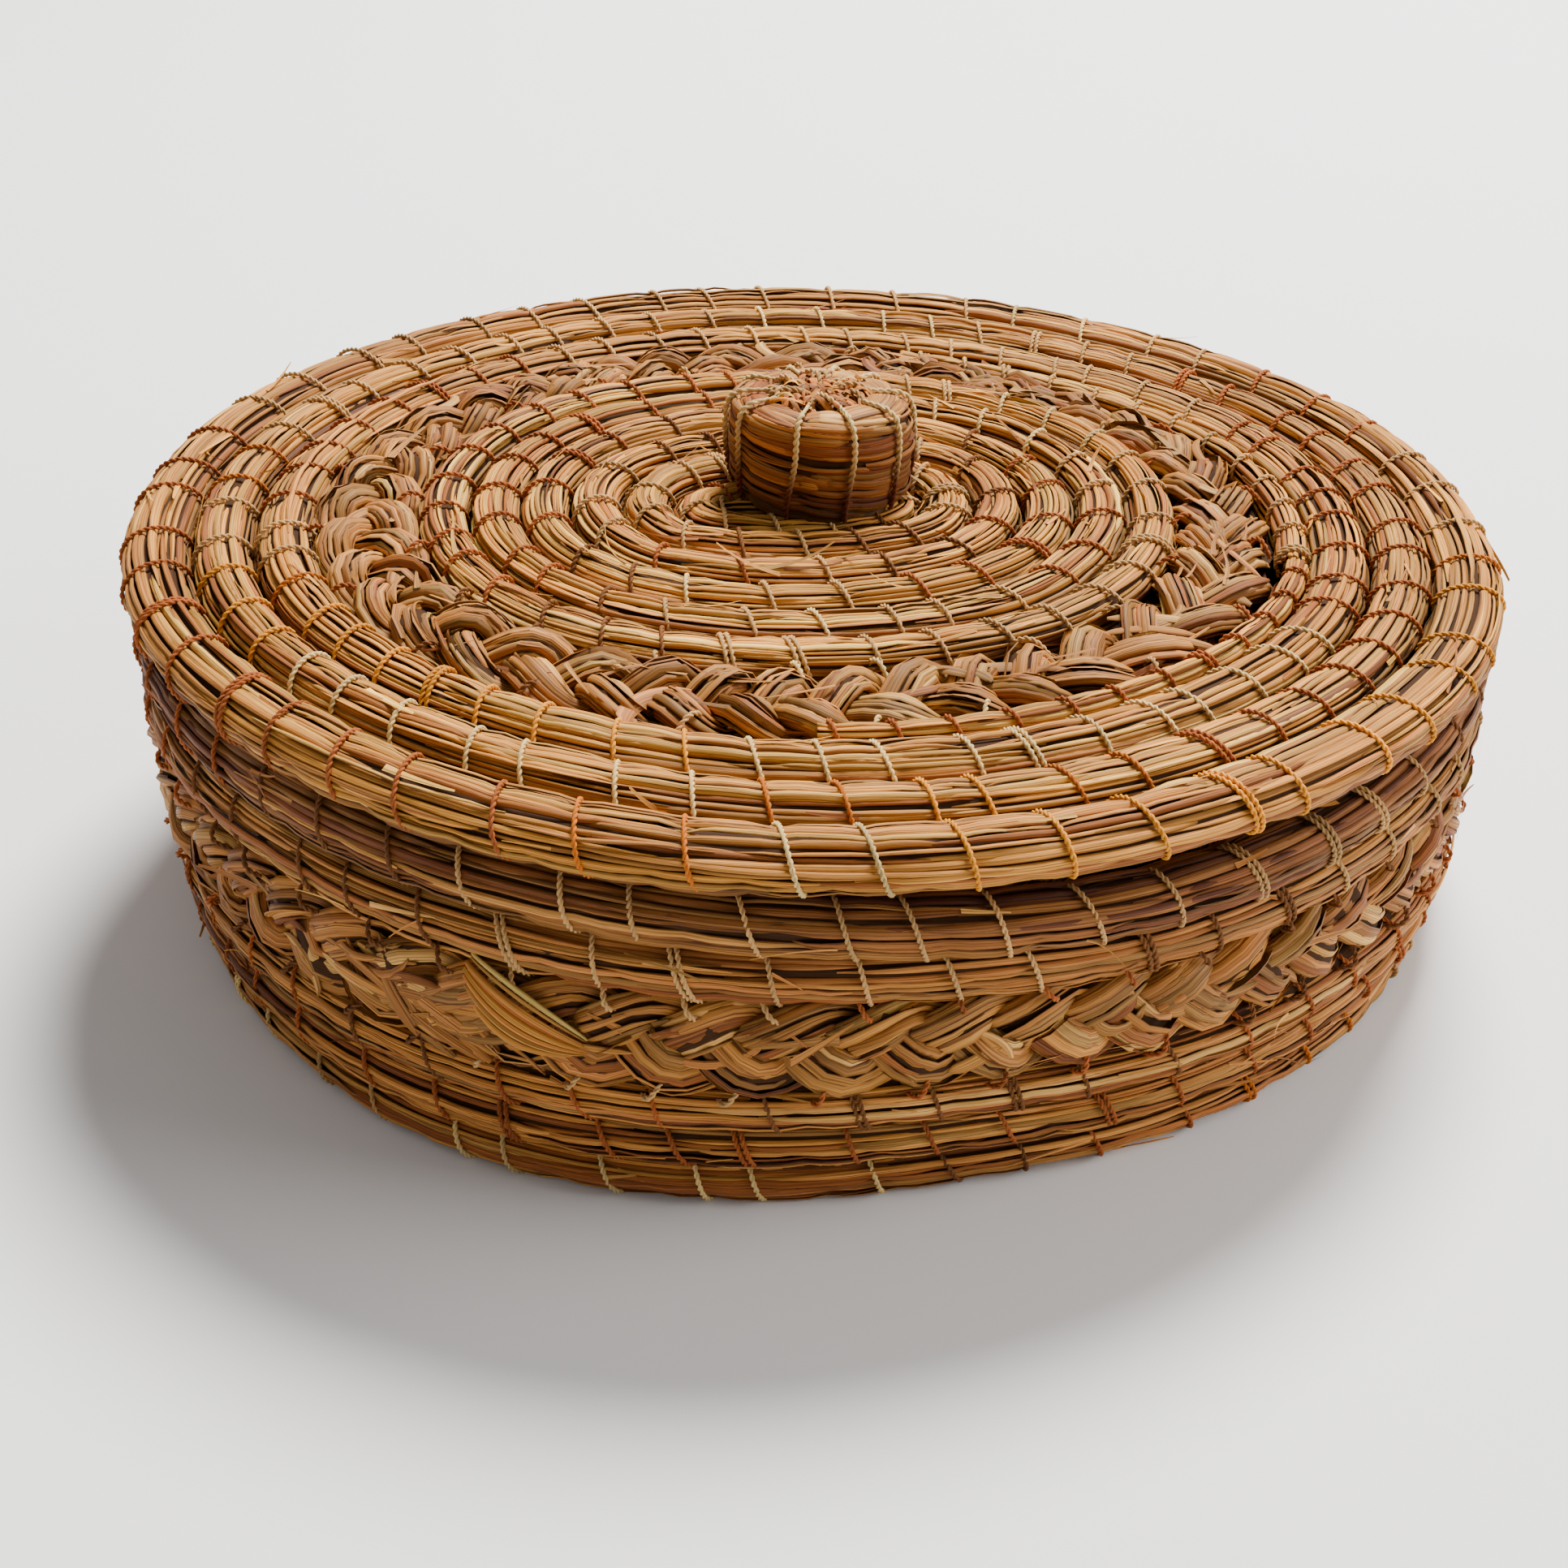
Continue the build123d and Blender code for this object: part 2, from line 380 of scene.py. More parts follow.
def wisps(soup, track, half_w, half_h, count, rng, span=(0, 1), rise=1.6):
    """Thin blade ends that have worked loose and stand a little off the row."""
    steps = 7
    t = np.linspace(0, 1, steps)
    length = rng.uniform(5, 16, (count, 1))
    way = rng.choice([-1, 1], (count, 1))
    s = rng.uniform(0, track.length, (count, 1)) + way * t * length
    phi = math.pi * rng.uniform(*span, (count, 1)) + rng.normal(0, 0.35, (count, 1)) * t
    lift = 0.2 + np.minimum(rng.gamma(2.0, rise / 2, (count, 1)), 3.2 * rise) * t ** 2
    width = (rng.uniform(0.5, 1.3, (count, 1)) * (1 - 0.75 * t))[..., None] * np.array([-0.5, 0.5])
    phi = phi[..., None] + width / half_h
    s = np.broadcast_to(s[..., None], phi.shape)
    points = on_section(track, s, phi, half_w, half_h, lift[..., None])
    tint = pick_tints(rng, count)[:, None, None, :] * 1.05
    soup.add(points, tint, (s, [-0.5, 0.5], seeds(rng, count)), GRASS)


def loose_blades(soup, track, at, half, rng, size=(9, 22), width=(1.6, 3.6), angle=0.6, rise=1.5, base=2.5):
    """Flat blades that have sprung out of a plait, each at its own angle and with a raised end."""
    count, steps = len(at), 9
    t = np.linspace(-0.5, 0.5, steps)
    length = rng.uniform(*size, (count, 1))
    way = rng.normal(0, angle, (count, 1)) + rng.normal(0, 0.7, (count, 1)) * t
    along, over = np.cos(way), np.sin(way)
    s = at[:, None] + t * length * along
    y = rng.uniform(-0.55, 0.55, (count, 1)) * half + t * length * over
    bulge = rng.uniform(0, rise, (count, 1)) * (1 - (2 * t) ** 2)
    lift = base + bulge + rng.uniform(0, rise, (count, 1)) * (t + 0.5)
    shape = rng.uniform(*width, (count, 1)) * np.sqrt(np.clip(1 - (2 * t) ** 4, 0.04, 1))
    across = shape[..., None] * COLUMNS / 2
    s, y = s[..., None] - across * over[..., None], y[..., None] + across * along[..., None]
    tilt = rng.normal(0, 0.3, (count, 1, 1)) * COLUMNS
    level = lift[..., None] - 0.05 * np.abs(y) ** 1.6 / half + CROWN + tilt
    tint = pick_tints(rng, count)[:, None, None, :]
    soup.add(on_plait(track, s, y, level), tint, (s, COLUMNS, seeds(rng, count)), GRASS)


LEAF_LENGTH, LEAF_FALL, LEAF_HALF = 25.0, 12.5, 5.8    # along the plait, down across it, and half its width
LEAF_START = 3.6                 # above the plait's middle
LEAF_BASE, LEAF_RISE = 3.0, 3.8  # off the plait at its ends, and how much more in its middle
LEAF_TONE = (1.58, 1.53, 1.42)


def sprung_leaf(soup, track, at, rng):
    """A wide split leaf standing off a plait: its blades lie side by side and meet in a point."""
    count, steps = 9, 25
    t, k = np.linspace(0, 1, steps), np.linspace(-1, 1, count)[:, None]
    belly = LEAF_HALF * np.sin(math.pi * (0.16 + 0.83 * t)) ** 0.75
    s = at + LEAF_LENGTH * (t - 0.5) + 0.35 * belly * k
    y = LEAF_START - LEAF_FALL * (t - 0.5) + 0.9 * belly * k
    lift = LEAF_BASE + LEAF_RISE * np.sin(math.pi * t) ** 0.8 - 0.9 * k ** 2 + rng.normal(0, 0.22, (count, 1))
    half_blade = belly[:, None] / count * 1.02 * COLUMNS
    s, y = s[..., None] + 0.35 * half_blade, y[..., None] + 0.9 * half_blade
    level = lift[..., None] + CROWN * 0.9 + rng.normal(0, 0.25, (count, 1, 1)) * COLUMNS
    tint = pick_tints(rng, count, LEAF_TONE, -0.02)[:, None, None, :]
    soup.add(on_plait(track, s, y, level), tint, (s, COLUMNS, seeds(rng, count)), GRASS)


# ---------------------------------------------------------------- stitches

STITCH_LIFT = 0.22               # the thread's middle above the row's surface
SECOND_THREAD = 1.3              # where a stitch is doubled, the second thread lies this far along


def thread(soup, path, normal, tint, radius=0.31, twist=2.9, sides=6):
    """Two twisted plies along each path: path is (count, steps, 3), with the surface normal at each point."""
    count, steps, _ = path.shape
    along = np.gradient(path, axis=1)
    seg = np.linalg.norm(along, axis=-1, keepdims=True)
    along = along / np.maximum(seg, 1e-9)
    side = np.cross(along, normal)
    side /= np.maximum(np.linalg.norm(side, axis=-1, keepdims=True), 1e-9)
    up = np.cross(side, along)
    dist = np.cumsum(seg, axis=1)
    ring = np.linspace(0, TAU, sides, endpoint=False)
    across, over = np.cos(ring)[:, None], np.sin(ring)[:, None]
    for ply in (0, 1):
        psi = TAU * dist / twist + math.pi * ply
        centre = path + radius * 0.92 * (np.cos(psi) * up + np.sin(psi) * side)
        points = centre[:, :, None] + radius * (across * up[:, :, None] + over * side[:, :, None])
        grain = dist, ring / TAU * 2, ply + np.arange(count)[:, None, None]
        soup.add(points, tint[:, :, None], grain, THREAD, wrap=True)


def thread_colours(rng, track, at, code):
    """Colour of each stitch: the code has a letter for each equal part of the turn, from +X anticlockwise."""
    points = track.at(at)[0]
    centre = track.points.mean(0)
    turn = np.mod(np.arctan2(points[:, 1] - centre[1], points[:, 0] - centre[0]), TAU) / TAU
    turn = np.mod(turn + rng.normal(0, 0.006, len(at)), 1)
    tint = np.array([THREADS[code[int(t * len(code)) % len(code)]] for t in turn])
    return tint * rng.lognormal(0, 0.12, (len(at), 1))


def row_stitches(soup, track, half_w, half_h, at, rng, code, span, slant, step=0.55, sides=6, doubled=0.05):
    """Stitches over a row: each runs over its section from span[1] to span[0] half turns."""
    count = len(at)
    long_way = abs(span[1] - span[0]) * math.pi * (half_w + half_h) / 2
    u = np.linspace(0, 1, max(8, int(long_way / step)))
    to_end = np.abs(u - 0.5) * 2
    lean = slant * rng.normal(1, 0.22, (count, 1))
    phi = math.pi * (span[1] + (span[0] - span[1]) * u) + np.zeros((count, 1))
    s = at[:, None] + lean * (0.5 - phi / math.pi) + rng.normal(0, 0.35, (count, 1)) * np.sin(u * math.pi)
    level = STITCH_LIFT + rng.normal(0, 0.06, (count, 1)) - 0.5 * to_end ** 6
    path = on_section(track, s, phi, half_w, half_h, level)
    normal = path - on_section(track, s, phi, half_w, half_h, level - 1.0)
    # Painted shade: each thread darkens towards its ends, where it goes under the blades.
    tint = thread_colours(rng, track, at, code)[:, None, :] * (1 - 0.3 * to_end[:, None] ** 4)
    thread(soup, path, normal, tint, sides=sides)
    pairs = rng.random(count) < doubled
    if pairs.any():
        second = on_section(track, s[pairs] + SECOND_THREAD, phi[pairs], half_w, half_h, level[pairs] + 0.1)
        thread(soup, second, normal[pairs], tint[pairs], sides=sides)


def edge_stitches(soup, track, half, at, rng, code="rrttttttrrrrrrbbttccttrr", reach=0.62, steps=26):
    """Stitches that hold a plait to the rows on both sides of it, sunk between its strands."""
    for side in (-1, 1):
        places = at + side * track.length / len(at) / 4
        width = np.interp(np.mod(places, track.length), np.linspace(0, track.length, len(half)), half)
        u = np.linspace(0, 1, steps)
        y = side * width[:, None] * (1.10 - reach * u)
        s = places[:, None] + 3.5 * u * rng.normal(1, 0.3, (len(at), 1))
        z = 1.2 + 3.4 * np.sin(u * math.pi) ** 0.8
        normal = track.at(s)[2]
        thread(soup, on_plait(track, s, y, z), normal, thread_colours(rng, track, places, code)[:, None, :])


def stitch_places(track, spacing, rng, phase=0.0):
    """Distances of the stitches along a row, evenly spread and a little uneven."""
    count = max(3, int(round(track.length / spacing)))
    return (np.arange(count) + phase + rng.normal(0, 0.10, count)) * track.length / count


def sewn_coil(soup, track, half_w, half_h, at, rng, code, spans, slant, blades, **stitches):
    """A coil with its core, its blades and its stitches over each span."""
    core_tube(soup, track, half_w, half_h)
    coil_blades(soup, track, half_w, half_h, rng, stitches=at, slant=slant, **blades)
    for span in spans:
        row_stitches(soup, track, half_w, half_h, at, rng, code, span, slant, **stitches)


# ---------------------------------------------------------------- plaits


def plait(soup, track, half_across, rng, pitch, thick, strand, rise, around, segments=14):
    """Three-strand plait along a closed track; half_across is half its width along e1, all the way round."""
    turns = max(2, round(track.length / pitch))
    count = turns * 26
    s = np.linspace(0, track.length, count, endpoint=False)
    p, e1, e2 = track.at(s)
    half = np.interp(s, np.linspace(0, track.length, len(half_across)), half_across)
    uneven = waves(rng, s / track.length * TAU, 0.10, 3, 14)
    bed = np.linspace(-1, 1, 9)[:, None]               # sheet under the strands, dark with painted shade
    across, under = bed * 1.06 * half[:, None, None], rise + 0.3 - 2 * bed ** 2
    sheet = p[:, None] + e1[:, None] * across - e2[:, None] * under
    soup.add(sheet, CORE_TINT, (s[:, None], bed[:, 0] * 2, 0.0), CORE)
    for k in range(3):
        w = TAU * (s / track.length * turns + k / 3 + uneven)
        half_strand = half * strand
        y = (half - half_strand * 0.92) * np.sin(w)
        z = rise * np.sin(2 * w)
        centre = p + e1 * y[:, None] + e2 * z[:, None]
        along = np.roll(centre, -1, 0) - np.roll(centre, 1, 0)
        along /= np.linalg.norm(along, axis=1)[:, None]
        side = np.cross(e2, along)
        side /= np.linalg.norm(side, axis=1)[:, None]
        strand_track = Track(centre, side, np.cross(along, side))
        mean_half = float(half_strand.mean())
        core_tube(soup, strand_track, mean_half, thick + 0.3, steps=count // 2)
        coil_blades(soup, strand_track, mean_half, thick, rng, around=around, length=(18, 54),
                    segments=segments, dark=-0.02, loose=0.3, layered=0.5, cover=1.22)


# ---------------------------------------------------------------- materials


def node(tree, kind, inputs=None, **settings):
    n = tree.nodes.new(kind)
    for k, v in settings.items():
        setattr(n, k, v)
    for k, v in (inputs or {}).items():
        if isinstance(v, bpy.types.NodeSocket):
            tree.links.new(v, n.inputs[k])
        else:
            n.inputs[k].default_value = v
    return n


def maths(tree, operation, a, b=0.0):
    return node(tree, "ShaderNodeMath", {0: a, 1: b}, operation=operation).outputs[0]


def vector_times(tree, a, b):
    return node(tree, "ShaderNodeVectorMath", {0: a, 1: b}, operation="MULTIPLY").outputs[0]


def remap(tree, value, low, high, to_low, to_high):
    """Takes the range low to high to another one, and stops at its ends."""
    return node(tree, "ShaderNodeMapRange", {0: value, 1: low, 2: high, 3: to_low, 4: to_high}).outputs[0]


def noise(tree, vector, scale, detail, roughness=0.5):
    inputs = {"Vector": vector, "Scale": scale, "Detail": detail, "Roughness": roughness}
    return node(tree, "ShaderNodeTexNoise", inputs).outputs[0]


def bump(tree, height, strength, distance):
    inputs = {"Strength": strength, "Distance": distance, "Height": height}
    return node(tree, "ShaderNodeBump", inputs).outputs[0]


def attribute(tree, name, output):
    return node(tree, "ShaderNodeAttribute", attribute_name=name).outputs[output]


def new_material(name):
    m = bpy.data.materials.new(name)
    m.use_nodes = True
    m.node_tree.nodes.clear()
    return m, m.node_tree


def finish_material(tree, colour, rough, normal, specular):
    shader = node(tree, "ShaderNodeBsdfPrincipled", {
        "Base Color": colour, "Roughness": rough, "Specular IOR Level": specular, "Normal": normal,
    })
    out = node(tree, "ShaderNodeOutputMaterial")
    tree.links.new(shader.outputs[0], out.inputs[0])


def make_grass(name, warmth):
    """Dry flat grass: fine lengthwise fibres, painted shade at the blade edges and along thin lines between
    blades, small specks and slow changes of tone.
    """
    m, tree = new_material(name)
    tint = attribute(tree, "tint", "Color")
    along, edge, seed = node(tree, "ShaderNodeSeparateXYZ", {0: attribute(tree, "grain", "Vector")}).outputs

    def times(a, b):
        return maths(tree, "MULTIPLY", a, b)

    def streaks(across, lengthwise, detail, offset):
        """Noise drawn out along the blade; each offset gives a pattern of its own."""
        vector = node(tree, "ShaderNodeCombineXYZ", {
            0: times(along, lengthwise),
            1: times(edge, across),
            2: maths(tree, "ADD", seed, offset),
        }).outputs[0]
        return noise(tree, vector, 1.0, detail, 0.6)

    fine = streaks(5.5, 0.045, 3.0, 0.0)
    broad = streaks(1.6, 0.02, 2.0, 37.0)
    blotch = streaks(0.6, 0.11, 3.0, 71.0)
    gap_shade = streaks(4.4, 0.03, 1.0, 113.0)
    position = node(tree, "ShaderNodeTexCoord").outputs["Object"]
    slow = noise(tree, position, 22.0, 2.0)
    fibres = times(remap(tree, fine, 0.32, 0.66, 0.46, 1.32), remap(tree, broad, 0.3, 0.7, 0.78, 1.2))
    # Painted shade: blades darken at their edges and along thin lines, where the gaps between blades fall
    # into shade.
    dark_edge = remap(tree, maths(tree, "ABSOLUTE", edge), 0.74, 1.0, 1.0, 0.34)
    edges = times(dark_edge, remap(tree, gap_shade, 0.61, 0.66, 1.0, 0.45))
    gain = times(fibres, times(remap(tree, slow, 0.3, 0.7, 0.84, 1.13), edges))
    lit = vector_times(tree, tint, node(tree, "ShaderNodeCombineXYZ", {
        0: times(gain, warmth[0]),                     # darker places are redder as well
        1: times(maths(tree, "POWER", gain, 1.22), warmth[1]),
        2: times(maths(tree, "POWER", gain, 1.60), warmth[2]),
    }).outputs[0])
    stain = {0: remap(tree, blotch, 0.62, 0.74, 0.0, 0.40), 6: lit, 7: (*linear(84, 48, 26), 1)}
    colour = node(tree, "ShaderNodeMix", stain, data_type="RGBA").outputs[2]
    rough = remap(tree, fine, 0.3, 0.7, 0.70, 0.50)
    finish_material(tree, colour, rough, bump(tree, fine, 0.55, 0.00035), 0.24)
    return m


def make_thread(name):
    """Twisted two-ply thread with fine fibres along each ply."""
    m, tree = new_material(name)
    fibre = noise(tree, vector_times(tree, attribute(tree, "grain", "Vector"), (0.9, 5.0, 1.0)), 1.6, 3.0)
    inputs = {0: attribute(tree, "tint", "Color"), 3: remap(tree, fibre, 0.3, 0.7, 0.68, 1.25)}
    colour = node(tree, "ShaderNodeVectorMath", inputs, operation="SCALE").outputs[0]
    finish_material(tree, colour, 0.7, bump(tree, fibre, 0.5, 0.0002), 0.15)
    return m


def make_core(name):
    """The inside of a bundle: the same grass, darkened with painted shade and mottled."""
    m, tree = new_material(name)
    mottle = noise(tree, vector_times(tree, attribute(tree, "grain", "Vector"), (0.05, 6.0, 1.0)), 2.0, 3.0)
    ramp = node(tree, "ShaderNodeValToRGB", {0: mottle})
    ramp.color_ramp.elements[0].color = (*linear(26, 15, 7), 1)
    ramp.color_ramp.elements[1].color = (*linear(80, 48, 20), 1)
    finish_material(tree, ramp.outputs[0], 0.8, bump(tree, mottle, 0.6, 0.0004), 0.15)
    return m


GRASS_TONES = {
    "lid_grass": (1.10, 0.83, 0.34),
    "body_grass": (0.94, 0.67, 0.33),
    "base_grass": (0.95, 0.73, 0.34),
    "plaited_grass": (0.70, 0.495, 0.235),
    "knob_grass": (0.78, 0.54, 0.24),
}
grass = {slot: make_grass(slot, tone) for slot, tone in GRASS_TONES.items()}
thread_material = make_thread("thread")
core_material = make_core("bundle_core")


def place(soup, name, body, slot):
    """Makes the woven piece that stands for a CAD node."""
    obj = soup.build(name + "_woven", [grass[slot], thread_material, core_material])
    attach(obj, body)
    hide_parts(name)


def rng_for(name):
    return np.random.default_rng(sum(ord(c) * (i + 7) for i, c in enumerate(name)))


# ---------------------------------------------------------------- rows of the lid

# Each row: oval family, width, stitch spacing, colours of its thread round the turn.
LID_ROWS = {
    "lid_rim_coil": (OUTER, 14.9, 16.8, "trrtctttctttrrrrrrocgggggo"),
    "lid_second_row": (OUTER, 12.9, 14.2, "rrrttcctttttotgccccogorrrr"),
    "lid_third_row": (OUTER, 13.3, 13.0, "rrtttttttrrrrtoggggcccccrr"),
    "lid_inner_row_1": (INNER, 11.2, 13.6, "ttcctttrrrrrrrrrbbtttttttt"),
    "lid_inner_row_2": (INNER, 11.2, 14.2, "ttccttrrrrrrrrrrbttctttrrr"),
    "lid_inner_row_3": (INNER, 11.2, 15.0, "rrbbttttbbrrrrbbbccttrrrrr"),
    "lid_inner_row_4": (INNER, 11.2, 15.0, "bbbttttbbbbttttbrrcttbbbrr"),
    "lid_inner_row_5": (INNER, 11.2, 12.0, "tttbbbttttttttttbbtttbbbtt"),
}
LID_TONES = {
    "lid_rim_coil": (0.86, 0.83, 0.75),
    "lid_second_row": (0.95, 0.94, 0.94),
    "lid_third_row": (0.94, 0.92, 0.90),
}
OVER_AND_UNDER = ((-0.05, 1.05), (-1.05, 0.05))        # spans of stitches that go all round, in half turns


def make_lid_rows():
    for name, (family, width, spacing, code) in LID_ROWS.items():
        is_rim = name == "lid_rim_coil"
        rng = rng_for(name)
        track = oval_track(name, family, rng, width)
        low, high = node_box(name)
        half_w, half_h = width / 2 - 0.35, (high[2] - low[2]) / 2 - 0.2
        at = stitch_places(track, spacing, rng)
        soup = Soup()
        blades = {
            "tone": LID_TONES.get(name, (1, 1, 1)),
            "around": 25,
            "length": (45, 120) if family is OUTER else (30, 90),
            # Painted shade where each row meets its neighbours; on the rim, on its inner side and on its
            # lower outer face.
            "grooves": (-0.9 if is_rim else 0, math.pi),
        }
        spans = [(-0.45 if is_rim else -0.12, 1.12)]
        sewn_coil(soup, track, half_w, half_h, at, rng, code, spans, 4.5, blades)
        wisps(soup, track, half_w, half_h, 26, rng)
        place(soup, name, "lid", "lid_grass")


def make_spiral_start(name, family, body, slot, width):
    """The middle of a spiral: rings of coil, then the short straight coil that the work began with."""
    rng = rng_for(name)
    low, high = node_box(name)
    centre, half_h = (low + high) / 2, (high[2] - low[2]) / 2 - 0.2
    reach = (high[0] - low[0]) / 2
    narrow = oval_arcs(reach, family)[2] - family["side_y"]
    soup = Soup()

    def coil(track, half_w):
        at = stitch_places(track, width, rng)
        blades = {"around": 17, "length": (20, 60), "segments": 18}
        sewn_coil(soup, track, half_w, half_h, at, rng, "tttrtttb", OVER_AND_UNDER, 4, blades)

    while narrow > 0.8 * width:
        _, points, normal = oval_line(reach - width / 2, family, centre, 240)
        coil(Track(points, normal, UP), width / 2 - 0.2)
        reach, narrow = reach - width, narrow - width
    turn = math.radians(family["turn"])
    along, side = outwards(np.array([turn, turn + math.pi / 2]))
    points = centre + np.linspace(-reach, reach, 40)[:, None] * along
    coil(Track(points, np.tile(side, (40, 1)), UP, closed=False), narrow)
    place(soup, name, body, slot)


def make_seat_coil():
    name, half_w, half_h = "lid_seat_coil", 4.7, 4.2
    rng = rng_for(name)
    track = oval_track(name, OUTER, rng, 10.0, wobble=0.15)
    at = stitch_places(track, 14, rng)
    soup = Soup()
    blades = {"around": 16, "segments": 20, "loose": 0.15}
    sewn_coil(soup, track, half_w, half_h, at, rng, "ttrrttbbttcc", OVER_AND_UNDER[1:], 4, blades, step=0.9,
              sides=4)
    place(soup, name, "lid", "lid_grass")


# The row outside the plait has a thick blunt start at the right and tapers to a thin tail at the front right.
# Each piece: first and last degree of its turn, half width, half height and thread.
ROW_START = (-14.0, 78.0, 3.4, 4.0, "tttttccttttt")
ROW_TAIL = (-90.0, -14.5, 2.3, 3.0, "rrrrrr")


def make_row_start():
    name = "lid_row_start"
    rng = rng_for(name)
    high = node_box(name)[1]
    soup = Soup()
    outside = high[0] + 0.2
    for first, last, half_w, half_h, code in (ROW_START, ROW_TAIL):
        turn = np.radians(np.linspace(first, last, 80))
        flat = oval_points(turn, outside - half_w, OUTER)
        points = np.column_stack([flat, np.full(80, high[2] + 0.8 - half_h)])
        track = Track(points, outwards(turn), UP, closed=False)
        at = np.arange(3, track.length - 4, 11.5)
        core_tube(soup, track, half_w - 0.2, half_h - 0.2, steps=40)
        coil_blades(soup, track, half_w, half_h, rng, (1.05, 1.05, 1.05), around=13, length=(30, 70),
                    segments=20, stitches=at, slant=3)
        for inner in (0.3, 0.55):                      # blades inside, seen at the blunt end, darkened with painted shade
            coil_blades(soup, track, half_w * inner, half_h * inner, rng, (0.8, 0.75, 0.7), around=6,
                        length=(30, 70), segments=6)
        row_stitches(soup, track, half_w, half_h, at, rng, code, span=(-0.1, 1.1), slant=3)
    place(soup, name, "lid", "lid_grass")


def polar_edge(points, centre, angle):
    """Distance from centre to a closed outline, at each angle."""
    d = points - centre
    a = np.mod(np.arctan2(d[:, 1], d[:, 0]), TAU)
    order = np.argsort(a)
    return np.interp(angle, a[order], np.hypot(d[:, 0], d[:, 1])[order], period=TAU)


START_ROOM, TAIL_ROOM = 6.0, 3.6     # what the row's start and its tail take off the plait's width
LID_BRAID_DEPTH = 5.4                # the plait's middle below its CAD node's top
BRAID_OVERLAP = 0.9                  # the plait reaches this far into the rows beside it


def make_lid_braid():
    name = "lid_braid"
    rng = rng_for(name)
    low, high = node_box(name)
    in_low, in_high = node_box("lid_inner_row_1")
    centre = ((in_low + in_high) / 2)[:2]
    dense = np.linspace(0, TAU, 2000, endpoint=False)
    outline = oval_points(dense, (high[0] - low[0]) / 2 + 0.6, OUTER) + ((low + high) / 2)[:2]
    inline = oval_points(dense, (in_high[0] - in_low[0]) / 2, INNER) + centre
    angle = np.linspace(0, TAU, 900, endpoint=False)
    far, near = polar_edge(outline, centre, angle), polar_edge(inline, centre, angle)
    turn = np.mod(np.degrees(angle) + 90, 360) - 90
    first, last = ROW_START[:2]
    far = far - START_ROOM * smooth((turn - first + 6) / 10) * smooth((last - turn) / 40)
    first, last = ROW_TAIL[:2]
    far = far - TAIL_ROOM * smooth((turn - first) / 20) * smooth((last - turn + 8) / 8)
    ray = outwards(angle)
    points = ray * ((far + near) / 2)[:, None]
    points[:, :2] += centre
    points[:, 2] = high[2] - LID_BRAID_DEPTH
    track = Track(points, ray, UP)
    half = (far - near) / 2 + BRAID_OVERLAP
    mean_half = float(half.mean())
    soup = Soup()
    plait(soup, track, half, rng, pitch=42.0, thick=2.7, strand=0.43, around=13, rise=3.1)
    wisps(soup, track, mean_half * 0.9, 5.0, 70, rng, rise=1.2)
    loose_blades(soup, track, rng.uniform(0, track.length, 34), mean_half, rng, base=3.0)
    edge_stitches(soup, track, half, stitch_places(track, 27.0, rng), rng)
    place(soup, name, "lid", "plaited_grass")


# ---------------------------------------------------------------- rows of the body

# Each row: width, place in the order of its stitches, colours of its thread round the turn.
BODY_ROWS = {
    "body_rim_coil": (13.0, 0, "ttttbbttttttrrrrbtttttttbb"),
    "second_row": (12.0, 1, "tttttbbtttttrrrbbttttbbttt"),
    "lower_row": (11.5, 3, "rrrrttttttttrrrrbrrbbbrrrr"),
    "bottom_row": (11.5, 4, "rrrrttttttttrrrrrrrrrrrrrr"),
    "foot_row": (12.5, 5, "ttttttttttttttcctcccbroott"),
}
# The rim coil is darker: partly grass of its own darker colour, partly painted shade from the lid above it.
# The second row is a little darker with painted shade from the lid.
BODY_TONES = {"body_rim_coil": (0.48, 0.42, 0.38), "second_row": (0.84, 0.80, 0.76)}
BODY_SPACING, BODY_SLANT = 16.2, 5.6
STITCH_PHASE = 0.37              # stitches of a row stand this share of their spacing past the row above's

# A second core, dark with painted shade, reaches into the groove below each row, so that no light comes
# through; the row under the plait has one on each side.
JOINT_RISE = 1.7
JOINT_RISES = {"foot_row": (), "lower_row": (-JOINT_RISE, JOINT_RISE)}
ABOVE, BELOW = math.pi / 2, -math.pi / 2
BODY_GROOVES = {"body_rim_coil": (BELOW,), "foot_row": (ABOVE,)}     # the other rows are shaded on both sides

# At the front right the top of the wall draws in and sinks: by millimetres inwards and down at the middle.
DIPS = {"body_rim_coil": (0.5, 5.2), "second_row": (0.4, 2.6)}
DIP_TURN, DIP_WIDTH = -64, 29    # degrees


